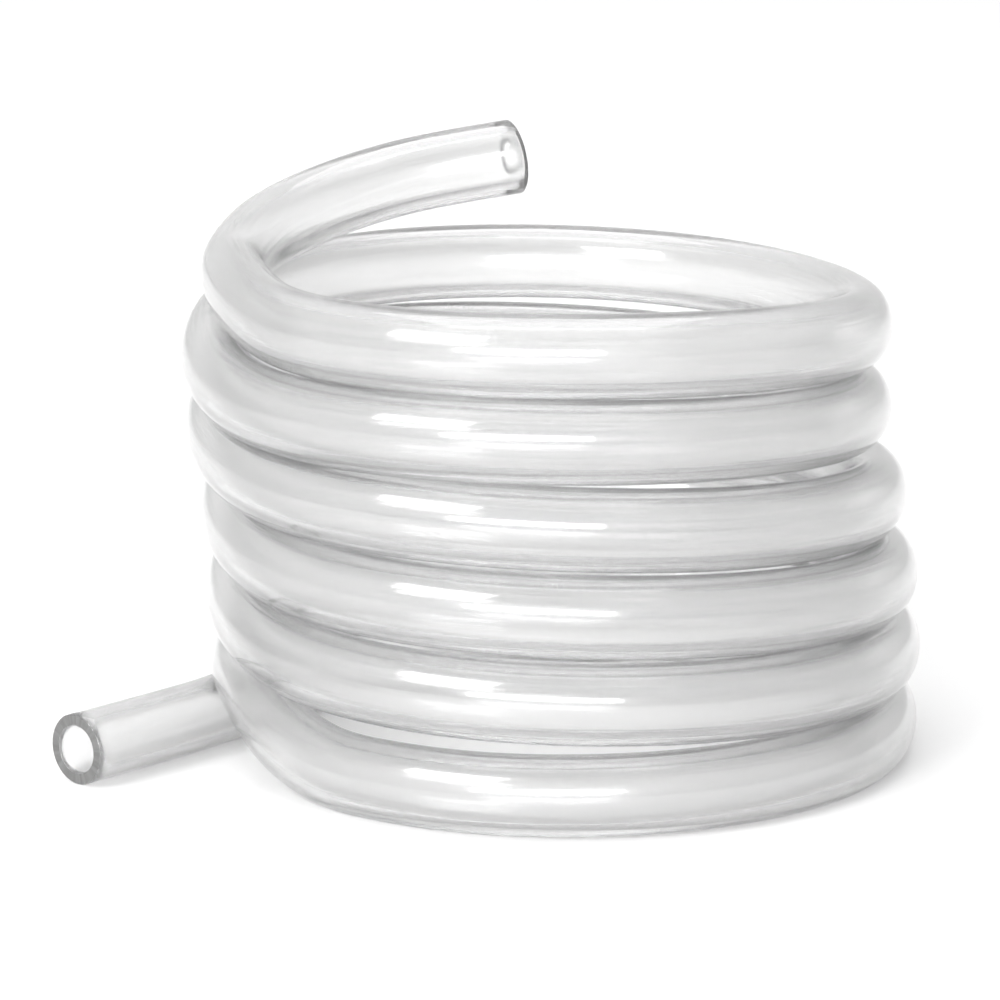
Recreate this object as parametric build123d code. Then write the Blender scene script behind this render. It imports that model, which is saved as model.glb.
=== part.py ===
"""A free-standing coil of clear flexible hose with two open ends. Millimetres, +Z up."""
import os
from math import pi, radians, tan

from build123d import *

# ---- driving dimensions ----------------------------------------------------
hose_od = 19.05            # 3/4 in outside
hose_id = 12.7             # 1/2 in bore
hose_r = hose_od / 2
bore_r = hose_id / 2

turn_pitch = 22.3          # height from one turn to the next: the turns stand a little apart
# Each turn's mean radius and its sideways offset from the coil's axis, bottom turn first.
turn_radii = [88.3, 88.5, 88.7, 88.1, 86.7, 85.4]
turn_offsets = [0.7, 1.0, -0.2, -2.9, -6.2, -4.5]
web_width = 12.0           # thickness of the web that joins one turn's solid to the next

# The top turn lifts off the turn below it on the left, as a tilted arc.
lift_radius = 86.0
lift_offset = -1.5
lift_tilt = 8.0            # degrees
lift_z = 128.4             # height of its centreline where it crosses the left
lift_from = -58.0          # degrees round from the left, negative is towards the front
lift_to = -10.0

corner_share = 0.45        # share of the shorter run that a bend may use at each end

# ---- the two uncoiled stretches, about the coil's axis at floor level -------
# Lower end: out from under the left of the coil, along the floor.
lower_route = [
    Vector(-84.7, 9, hose_r),
    Vector(-97.6, -9.4, hose_r),
    Vector(-112.6, -27.2, hose_r),
    Vector(-127.7, -44.6, hose_r),
]
# Upper end: from the top of the lift, round to the right and still rising.
upper_first_run = 14.6
upper_route_on = [
    Vector(-87.9, 17, 131.1),
    Vector(-82.5, 33.5, 135.5),
    Vector(-72.8, 47.9, 139.4),
    Vector(-59.3, 59.2, 143.5),
    Vector(-44, 66.2, 147.3),
    Vector(-27.1, 69, 150.3),
    Vector(-12.4, 68, 152.8),
]


def bend_radii(points):
    """Largest bend at each inner point that its two runs leave room for."""
    radii = []
    for before, corner, after in zip(points, points[1:], points[2:]):
        run_in = corner - before
        run_out = after - corner
        turn = radians(run_in.get_angle(run_out))
        radii.append(corner_share * min(run_in.length, run_out.length) / tan(turn / 2))
    return radii


def hose_stretch(points):
    """A hollow hose along straight runs joined by tangent bends, and its centreline."""
    path = FilletPolyline(*points, radius=bend_radii(points))
    start = Plane(origin=path @ 0, z_dir=path % 0)
    wall = sweep(start * Circle(hose_r), path=path)
    bore = sweep(start * Circle(bore_r), path=path)
    return wall - bore, path


def turn_solid(level):
    """One turn as a closed ring, with a web up to the turn above."""
    radius = turn_radii[level]
    centre_z = hose_r + level * turn_pitch
    section = Pos(radius, centre_z) * Circle(hose_r)
    if level + 1 < len(turn_radii):
        section += Pos(radius, centre_z + turn_pitch / 2) * Rectangle(web_width, turn_pitch)
    ring = revolve(Plane.XZ * section, axis=Axis.Z)
    return Pos(turn_offsets[level], 0, 0) * ring


def lift_frame():
    """The lift's own tilted frame, at the centre of its arc."""
    return Pos(lift_offset, 0, lift_z) * Rot(lift_tilt, 0, 0)


def lift_section_plane(degrees_round):
    """Plane of the hose's section on the lift, with the hose's way on as its normal."""
    at_section = Rot(0, 0, -degrees_round) * Pos(-lift_radius, 0, 0) * Rot(-90, 0, 0)
    return Plane(lift_frame() * at_section)


def lift_solid():
    """The tilted arc that lifts the top turn's start off the stack."""
    section = lift_section_plane(lift_to) * Circle(hose_r)
    axis = Axis(lift_frame().position, Plane(lift_frame()).z_dir)
    return revolve(section, axis=axis, revolution_arc=lift_to - lift_from)


def coil_solid():
    """The outer shape of all the turns, as one closed solid."""
    coil = turn_solid(0)
    for level in range(1, len(turn_radii)):
        coil += turn_solid(level)
    return coil + lift_solid()


def lower_end_solid(hose, coil):
    """The lower hose from the outer face of the bottom turn to its open mouth."""
    inside_bottom_turn = Pos(turn_offsets[0], 0, 0) * Cylinder(turn_radii[0], 2 * hose_od)
    return hose - inside_bottom_turn - coil


coil = coil_solid()
lift_end = lift_section_plane(lift_to)
upper_start = [lift_end.origin, lift_end.origin + upper_first_run * lift_end.z_dir]
upper_route = upper_start + upper_route_on
lower_hose, lower_path = hose_stretch(lower_route)
upper_hose, upper_path = hose_stretch(upper_route)
lower_end = lower_end_solid(lower_hose, coil)
upper_end = upper_hose - coil

# ---- origin at the centre of the footprint, on the floor --------------------
box = Compound([coil, lower_end, upper_end]).bounding_box()
to_origin = Pos(-box.center().X, -box.center().Y, -box.min.Z)

os.makedirs("parts", exist_ok=True)
nodes = {"coil": coil, "lower_end": lower_end, "upper_end": upper_end}
for name, shape in nodes.items():
    export_step(to_origin * shape, f"parts/{name}.step")

# ---- what was made: bends, lengths and the two mouths -----------------------
print("coil axis at", to_origin.position)
section_area = pi * (hose_r**2 - bore_r**2)
for name, hose, path, points in (
    ("lower end", lower_hose, lower_path, lower_route),
    ("upper end", upper_hose, upper_path, upper_route),
):
    last_run = points[-1] - points[-2]
    run_before = points[-2] - points[-3]
    straight = last_run.length - corner_share * min(last_run.length, run_before.length)
    print(name, "bend radii", [round(radius, 1) for radius in bend_radii(points)])
    print("  length", round(path.length, 1), "straight at the mouth", round(straight, 2))
    print("  volume / (section x length)", round(hose.volume / (section_area * path.length), 4))
    print("  mouth", to_origin.position + points[-1], "facing", last_run.normalized())
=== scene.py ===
"""Looks of a free-standing coil of clear flexible hose. Metres, +Z up."""
from math import cos, exp, pi, radians, sin, tan, tanh

import bpy
import numpy as np
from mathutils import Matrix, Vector


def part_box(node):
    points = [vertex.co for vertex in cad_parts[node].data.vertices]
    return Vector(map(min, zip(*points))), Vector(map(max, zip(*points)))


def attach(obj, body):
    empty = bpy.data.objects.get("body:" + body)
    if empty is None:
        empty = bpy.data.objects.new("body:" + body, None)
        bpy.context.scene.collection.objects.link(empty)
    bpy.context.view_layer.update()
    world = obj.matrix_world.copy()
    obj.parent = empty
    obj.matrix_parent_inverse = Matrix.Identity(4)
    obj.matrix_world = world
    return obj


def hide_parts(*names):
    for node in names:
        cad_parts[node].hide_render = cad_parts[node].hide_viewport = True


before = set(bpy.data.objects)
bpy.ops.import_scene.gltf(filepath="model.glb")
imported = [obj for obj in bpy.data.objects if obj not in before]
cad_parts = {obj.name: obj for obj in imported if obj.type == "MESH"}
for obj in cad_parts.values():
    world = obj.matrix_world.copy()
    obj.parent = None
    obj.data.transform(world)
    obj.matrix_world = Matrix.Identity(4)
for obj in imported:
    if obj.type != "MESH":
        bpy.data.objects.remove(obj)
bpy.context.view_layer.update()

MM = 0.001


def new_object(name, data):
    """An object with this data, put in the scene."""
    made = bpy.data.objects.new(name, data)
    bpy.context.scene.collection.objects.link(made)
    return made


# ---- sizes -------------------------------------------------------------------
hose_od = 19.05 * MM
hose_id = 12.7 * MM
hose_r = hose_od / 2
bore_r = hose_id / 2

widest_turn = 89.5 * MM           # furthest that the CAD coil's centreline is right of its axis
coil_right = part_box("coil")[1].x
axis_x = coil_right - hose_r - widest_turn

# ---- camera ------------------------------------------------------------------
camera_place = (axis_x - 0.014, -0.981, 0.2748)
camera_looks_down = 12.0          # degrees

camera_data = bpy.data.cameras.new("camera")
camera_data.lens = 132.9
camera_data.sensor_width = 36.0
camera_data.shift_x = -0.0083
camera_data.shift_y = 0.0033
camera = new_object("camera", camera_data)
camera.location = camera_place
camera.rotation_euler = (radians(90 - camera_looks_down), 0, 0)
bpy.context.scene.camera = camera

# ---- route -------------------------------------------------------------------
# Places and heights are in millimetres, about the coil's axis at floor level. Places and widths
# along the coil are in turns.
# Upper end, from its open mouth down to the coil.
upper_points = [
    (-12.4, 68, 152.8),
    (-27.1, 69, 150.3),
    (-44, 66.2, 147.3),
    (-59.3, 59.2, 143.5),
    (-72.8, 47.9, 139.4),
    (-82.5, 33.5, 135.5),
    (-87.9, 17, 131.1),
    (-88.7, -0.5, 128.3),
]
# Lower end, from the bottom turn's back, under the coil's left and out to its open mouth.
lower_points = [
    (-60, 52, 9.5),
    (-72, 32, 9.5),
    (-82, 13.5, 9.5),
    (-97.6, -9.4, 9.5),
    (-112.6, -27.2, 9.5),
    (-127.7, -44.6, 9.5),
]
top_z = 131.5                     # height where the coil starts, on the left
pitch = 22.27                     # height from one turn to the next
step_share = 1.2                  # how much of a pitch each turn drops where it passes the left
step_width = 0.1

# What the coil is like each time that it passes the left, from the top down: how far its middle
# is to the right, its radius, its rise on the left, and its rise at the front.
turn_offset = [-3, -7.5, -5, -0.5, 0.5, 1.5, 0]
turn_radius = [85, 86, 87.5, 88.5, 88.5, 88.5, 88]
turn_tilt = [0.5, 1, 4, 3.5, 3, -1, -1]
turn_lean = [1, 2, 3, 3, 3.5, 1, 1]
# Every turn is also a little out of round, and a little out of flat.
side_squash = 0.3                 # drawn in at the left and the right
diagonal_squash = 1.0             # drawn in at the front left and the back right
side_droop = 0.7                  # lower at the left and the right

sag_at = 0.5                      # where the top turn sinks onto the one below it, on the right
sag = 2.0
sag_width = 0.12
crossing_at = 5.04                # where the last turn rides over the lower end
crossing_rise = 9.5
crossing_width = 0.045

points_per_turn = 24
coil_starts = 2                   # the coil's first point, counted from the left
coil_ends = 5.72                  # where the lower end leaves the bottom turn


def turns_down(u):
    """How many pitches the coil has dropped by u turns round: mostly on the left."""
    nearest = round(u)
    past = u - nearest
    step = tanh(past / step_width) / tanh(0.5 / step_width) / 2
    return nearest + (1 - step_share) * past + step_share * step


def between_turns(values, u):
    """What one of the turns' lists gives u turns down."""
    return np.interp(u, range(len(values)), values)


def coil_point(u):
    """The coil's centreline u turns down from the top's left, front side first."""
    turn = 2 * pi * u
    radius = between_turns(turn_radius, u)
    radius -= side_squash * cos(2 * turn) + diagonal_squash * sin(2 * turn)
    height = top_z - pitch * turns_down(u)
    height += between_turns(turn_tilt, u) * cos(turn) + between_turns(turn_lean, u) * sin(turn)
    height -= side_droop * cos(2 * turn)
    height += crossing_rise * exp(-(((u - crossing_at) / crossing_width) ** 4))
    height -= sag * exp(-(((u - sag_at) / sag_width) ** 2))
    x = between_turns(turn_offset, u) - radius * cos(turn)
    return x, -radius * sin(turn), max(height, hose_r / MM)


def control_point(u):
    """A control point stands a little outside the curve that it makes."""
    x, y, z = coil_point(u)
    outward = 1 / cos(pi / points_per_turn)
    middle = between_turns(turn_offset, u)
    return middle + (x - middle) * outward, y * outward, z


def whole_route():
    """Control points from the upper mouth down the coil to the lower mouth, in the frame's metres."""
    coil_range = range(coil_starts, round(coil_ends * points_per_turn) + 1)
    coil_points = [control_point(k / points_per_turn) for k in coil_range]
    return [
        Vector((x * MM + axis_x, y * MM, z * MM))
        for x, y, z in upper_points + coil_points + lower_points
    ]


def nurbs_line(points):
    """A smooth line with these control points, as a curve of one open spline."""
    data = bpy.data.curves.new("route", "CURVE")
    data.dimensions = "3D"
    data.resolution_u = 8
    spline = data.splines.new("NURBS")
    spline.points.add(len(points) - 1)
    for point, place in zip(spline.points, points):
        point.co = (*place, 1.0)
    spline.order_u = 3
    spline.use_endpoint_u = True
    return new_object("route", data)


def points_on(line):
    """The line's own points, from end to end. The line itself goes."""
    bpy.context.view_layer.update()
    mesh = bpy.data.meshes.new_from_object(line)
    found = np.array([vertex.co[:] for vertex in mesh.vertices])
    bpy.data.meshes.remove(mesh)
    bpy.data.objects.remove(line)
    return found


def evenly(points, spacing):
    """The same line in equal steps, and how far along each step is."""
    runs = np.linalg.norm(np.diff(points, axis=0), axis=1)
    so_far = np.concatenate([[0], np.cumsum(runs)])
    steps = int(round(so_far[-1] / spacing))
    wanted = np.linspace(0, so_far[-1], steps + 1)
    return np.column_stack([np.interp(wanted, so_far, points[:, k]) for k in range(3)]), wanted


ring_spacing = 4 * MM
centres, along = evenly(points_on(nurbs_line(whole_route())), ring_spacing)
hose_length = along[-1]

# ---- the hose ----------------------------------------------------------------
around = 40                       # points in each ring
bend_narrow = 0.09                # a bend draws the hose in from the sides by this share
bend_rise = 0.125                 # and up by this one
straight_end = 50 * MM            # the lower end is round for this far from its mouth
oval_grows_over = 80 * MM         # and turns into the oval over this much more
same_stretch = 4 * hose_od        # closer along the hose than this, nothing presses
cut_round = 0.35 * MM             # the cut ends' edges are a little rounded
slant = tan(radians(27))          # the upper mouth isn't cut square: its front reaches further
slant_run = 16 * MM               # how far from the mouth the slant dies out


def ring_frames(points):
    """Each ring's way on, sideways and upward directions."""
    way_on = np.gradient(points, axis=0)
    way_on /= np.linalg.norm(way_on, axis=1)[:, None]
    sideways = np.cross(way_on, (0, 0, 1))
    sideways /= np.linalg.norm(sideways, axis=1)[:, None]
    return way_on, sideways, np.cross(sideways, way_on)


def oval_share():
    """How far each ring is drawn up into an oval: the bends are, and the straight lower end isn't."""
    from_mouth = hose_length - along
    return np.clip((from_mouth - straight_end) / oval_grows_over, 0, 1)


def pressed_by():
    """The way to the nearest other stretch of the hose from each ring, and how far it is."""
    gaps = centres[None, :, :] - centres[:, None, :]
    distance = np.linalg.norm(gaps, axis=2)
    distance[np.abs(along[None, :] - along[:, None]) < same_stretch] = np.inf
    nearest = distance.argmin(axis=1)
    rings = np.arange(len(centres))
    apart = distance[rings, nearest]
    return gaps[rings, nearest] / apart[:, None], apart


way_on, sideways, upward = ring_frames(centres)
towards, apart = pressed_by()
oval = oval_share()
slant_share = np.clip(1 - along / slant_run, 0, 1) ** 2 * slant
ring_turn = np.linspace(0, 2 * pi, around, endpoint=False)


def wall(radius, shift=0.0, rings=slice(None)):
    """Rings of points at this radius, moved on by shift, and flat where something presses."""
    narrowed = 1 - bend_narrow * oval[rings, None, None]
    raised = 1 + bend_rise * oval[rings, None, None]
    across = np.cos(ring_turn)[None, :, None] * sideways[rings, None, :] * narrowed
    over = np.sin(ring_turn)[None, :, None] * upward[rings, None, :] * raised
    centre = centres[rings, None, :] + shift * way_on[rings, None, :]
    points = centre + radius * (across + over)
    behind = (points - centre)[:, :, 1] * slant_share[rings, None]
    points += behind[:, :, None] * way_on[rings, None, :]
    inset = hose_r - radius
    depth = np.einsum("rki,ri->rk", points - centre, towards[rings])
    too_deep = np.maximum(depth - (apart[rings, None] / 2 - inset), 0)
    points -= too_deep[:, :, None] * towards[rings, None, :]
    points[:, :, 2] = np.maximum(points[:, :, 2], inset)
    return points


first_ring = slice(0, 1)
last_ring = slice(-1, None)


def long_wall(radius):
    """The wall from mouth to mouth, drawn back at both by the rounding of the cut."""
    rows = wall(radius)
    rows[0] = wall(radius, cut_round, first_ring)[0]
    rows[-1] = wall(radius, -cut_round, last_ring)[0]
    return rows


def ring_rows():
    """Every ring of the hose's surface in order: outside, lower cut, bore, upper cut."""
    outside = long_wall(hose_r)
    bore = long_wall(bore_r)
    outer_edge = hose_r - cut_round
    inner_edge = bore_r + cut_round
    lower_cut = [wall(outer_edge, 0, last_ring), wall(inner_edge, 0, last_ring)]
    upper_cut = [wall(inner_edge, 0, first_ring), wall(outer_edge, 0, first_ring)]
    rows = np.concatenate([outside] + lower_cut + [bore[::-1]] + upper_cut)
    cut_rows = [len(outside), 2 * len(outside) + 2]
    return rows, cut_rows


def hose_mesh():
    """One closed skin: the rows joined into a loop, with the cut faces as material 1."""
    rows, cut_rows = ring_rows()
    count = len(rows)
    faces = []
    for row in range(count):
        next_row = (row + 1) % count
        for k in range(around):
            next_k = (k + 1) % around
            corners = (row * around + k, next_row * around + k)
            faces.append((*corners, next_row * around + next_k, row * around + next_k))
    mesh = bpy.data.meshes.new("hose")
    mesh.from_pydata(rows.reshape(-1, 3).tolist(), [], faces)
    for polygon in mesh.polygons:
        row = polygon.index // around
        polygon.use_smooth = row not in cut_rows
        polygon.material_index = 1 if row in cut_rows else 0
    return mesh


def add_hose_space(mesh):
    """Each point's place along and round the hose, for streaks that run along it."""
    lower_cut = [hose_length, hose_length]
    upper_cut = [0, 0]
    down_the_rows = np.concatenate([along, lower_cut, along[::-1], upper_cut])
    space = np.zeros((len(down_the_rows), around, 3))
    space[:, :, 0] = down_the_rows[:, None]
    space[:, :, 1] = np.cos(ring_turn)[None, :] * hose_r
    space[:, :, 2] = np.sin(ring_turn)[None, :] * hose_r
    space[len(centres):, :, 1:] *= hose_id / hose_od
    layer = mesh.attributes.new("hose_space", "FLOAT_VECTOR", "POINT")
    layer.data.foreach_set("vector", space.ravel())


hose = new_object("hose", hose_mesh())
add_hose_space(hose.data)

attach(hose, "root")
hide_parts("coil", "lower_end", "upper_end")

# ---- materials ---------------------------------------------------------------
pvc_ior = 1.5
bump_distance = 0.2 * MM
noise_low = 0.3                   # nearly all of the noise lies between these
noise_high = 0.7


def grey(value):
    """A grey as the shader takes it."""
    return (value, value, value, 1)


def new_material(name):
    """A material with its own shader, and its nodes and links."""
    material = bpy.data.materials.new(name)
    material.use_nodes = True
    return material, material.node_tree.nodes, material.node_tree.links


def streaks(nodes, links, along_scale, across_scale, detail):
    """Noise drawn out along the hose, in the hose's own space."""
    space = nodes.new("ShaderNodeAttribute")
    space.attribute_name = "hose_space"
    stretch = nodes.new("ShaderNodeMapping")
    stretch.inputs["Scale"].default_value = (along_scale, across_scale, across_scale)
    noise = nodes.new("ShaderNodeTexNoise")
    noise.inputs["Scale"].default_value = 1.0
    noise.inputs["Detail"].default_value = detail
    links.new(space.outputs["Vector"], stretch.inputs["Vector"])
    links.new(stretch.outputs["Vector"], noise.inputs["Vector"])
    return noise.outputs["Fac"]


def remapped(nodes, links, value, old_range, new_range):
    """The value, mapped from the old range to the new one and held inside it."""
    remap = nodes.new("ShaderNodeMapRange")
    remap.inputs["From Min"].default_value, remap.inputs["From Max"].default_value = old_range
    remap.inputs["To Min"].default_value, remap.inputs["To Max"].default_value = new_range
    links.new(value, remap.inputs["Value"])
    return remap.outputs["Result"]


def spread(nodes, links, noise, low, high):
    """The noise, spread over the range from low to high."""
    return remapped(nodes, links, noise, (noise_low, noise_high), (low, high))


def add_bump(nodes, links, height, strength):
    """Raise and sink the surface by the height given."""
    bump = nodes.new("ShaderNodeBump")
    bump.inputs["Strength"].default_value = strength
    bump.inputs["Distance"].default_value = bump_distance
    links.new(height, bump.inputs["Height"])
    links.new(bump.outputs["Normal"], nodes["Principled BSDF"].inputs["Normal"])


def clear_hose_material():
    """Clear soft PVC: glossy, a little hazy, with faint die lines and a cloudy bloom."""
    material, nodes, links = new_material("clear_hose")
    shader = nodes["Principled BSDF"]
    shader.inputs["Base Color"].default_value = grey(0.972)
    shader.inputs["IOR"].default_value = pvc_ior
    shader.inputs["Transmission Weight"].default_value = 0.92
    shader.inputs["Coat Weight"].default_value = 0.6
    shader.inputs["Coat Roughness"].default_value = 0.06
    bloom = streaks(nodes, links, along_scale=14, across_scale=160, detail=3)
    links.new(spread(nodes, links, bloom, 0.13, 0.2), shader.inputs["Roughness"])
    die_lines = streaks(nodes, links, along_scale=5, across_scale=900, detail=2)
    add_bump(nodes, links, die_lines, strength=0.25)
    return material


def cut_end_material():
    """The knife-cut wall: the same PVC, frosted, and painted dark grey as painted shade for the dark
    that the clear wall shows end-on.
    """
    material, nodes, links = new_material("cut_end")
    shader = nodes["Principled BSDF"]
    shader.inputs["IOR"].default_value = pvc_ior
    scratches = streaks(nodes, links, along_scale=1, across_scale=1600, detail=4)
    # painted shade: the dark greys stand in for the shade that the clear wall shows end-on; the
    # scratch noise only varies them
    painted_shade_tone = nodes.new("ShaderNodeMix")
    painted_shade_tone.data_type = "RGBA"
    painted_shade_tone.inputs["A"].default_value = (0.1, 0.1, 0.097, 1)
    painted_shade_tone.inputs["B"].default_value = grey(0.18)
    links.new(spread(nodes, links, scratches, 0, 1), painted_shade_tone.inputs["Factor"])
    links.new(painted_shade_tone.outputs["Result"], shader.inputs["Base Color"])
    links.new(spread(nodes, links, scratches, 0.4, 0.6), shader.inputs["Roughness"])
    add_bump(nodes, links, scratches, strength=0.4)
    return material


def studio_material():
    """A matt, pale floor that glows a little, so that it comes out white."""
    material, nodes, _ = new_material("studio")
    shader = nodes["Principled BSDF"]
    shader.inputs["Base Color"].default_value = grey(0.8)
    shader.inputs["Roughness"].default_value = 0.8
    shader.inputs["Emission Color"].default_value = grey(1)
    shader.inputs["Emission Strength"].default_value = 0.15
    return material


hose.data.materials.append(clear_hose_material())
hose.data.materials.append(cut_end_material())

# ---- floor and light -----------------------------------------------------------
floor_half = 20.0                 # so wide that its edge lies out of sight
aim = Vector((0, 0, 0.08))        # the middle of the coil
world_from = (-0.7, 0.3)          # a direction's Y, from the front to a little behind the sides
world_light = (0.33, 0.8)         # strength of the light from there


def studio_floor():
    """The floor that the coil stands on."""
    half = floor_half
    corners = [(-half, -half, 0), (half, -half, 0), (half, half, 0), (-half, half, 0)]
    mesh = bpy.data.meshes.new("floor")
    mesh.from_pydata(corners, [], [(0, 1, 2, 3)])
    mesh.materials.append(studio_material())
    new_object("floor", mesh)


def soft_light(name, place, width, height, power):
    """A rectangular softbox that faces the middle of the coil."""
    data = bpy.data.lights.new(name, "AREA")
    data.shape = "RECTANGLE"
    data.size = width
    data.size_y = height
    data.energy = power
    light = new_object(name, data)
    light.location = place
    light.rotation_euler = (aim - light.location).to_track_quat("-Z", "Y").to_euler()


def studio_world():
    """Soft light all round, darker from the front, which greys the edges of clear plastic."""
    world = bpy.data.worlds.new("studio")
    bpy.context.scene.world = world
    world.use_nodes = True
    nodes = world.node_tree.nodes
    links = world.node_tree.links
    background = nodes["Background"]
    background.inputs["Color"].default_value = grey(1)
    direction = nodes.new("ShaderNodeTexCoord")
    split = nodes.new("ShaderNodeSeparateXYZ")
    links.new(direction.outputs["Generated"], split.inputs["Vector"])
    strength = remapped(nodes, links, split.outputs["Y"], world_from, world_light)
    links.new(strength, background.inputs["Strength"])


studio_floor()
studio_world()
soft_light("front", place=(-0.5, -3.6, 0.95), width=3.2, height=0.5, power=130)
soft_light("key", place=(-3.0, -3.2, 3.6), width=2.8, height=1.4, power=160)
soft_light("top", place=(0, 0.4, 5.6), width=4.8, height=4.8, power=135)
bpy.context.scene.view_settings.view_transform = "Standard"
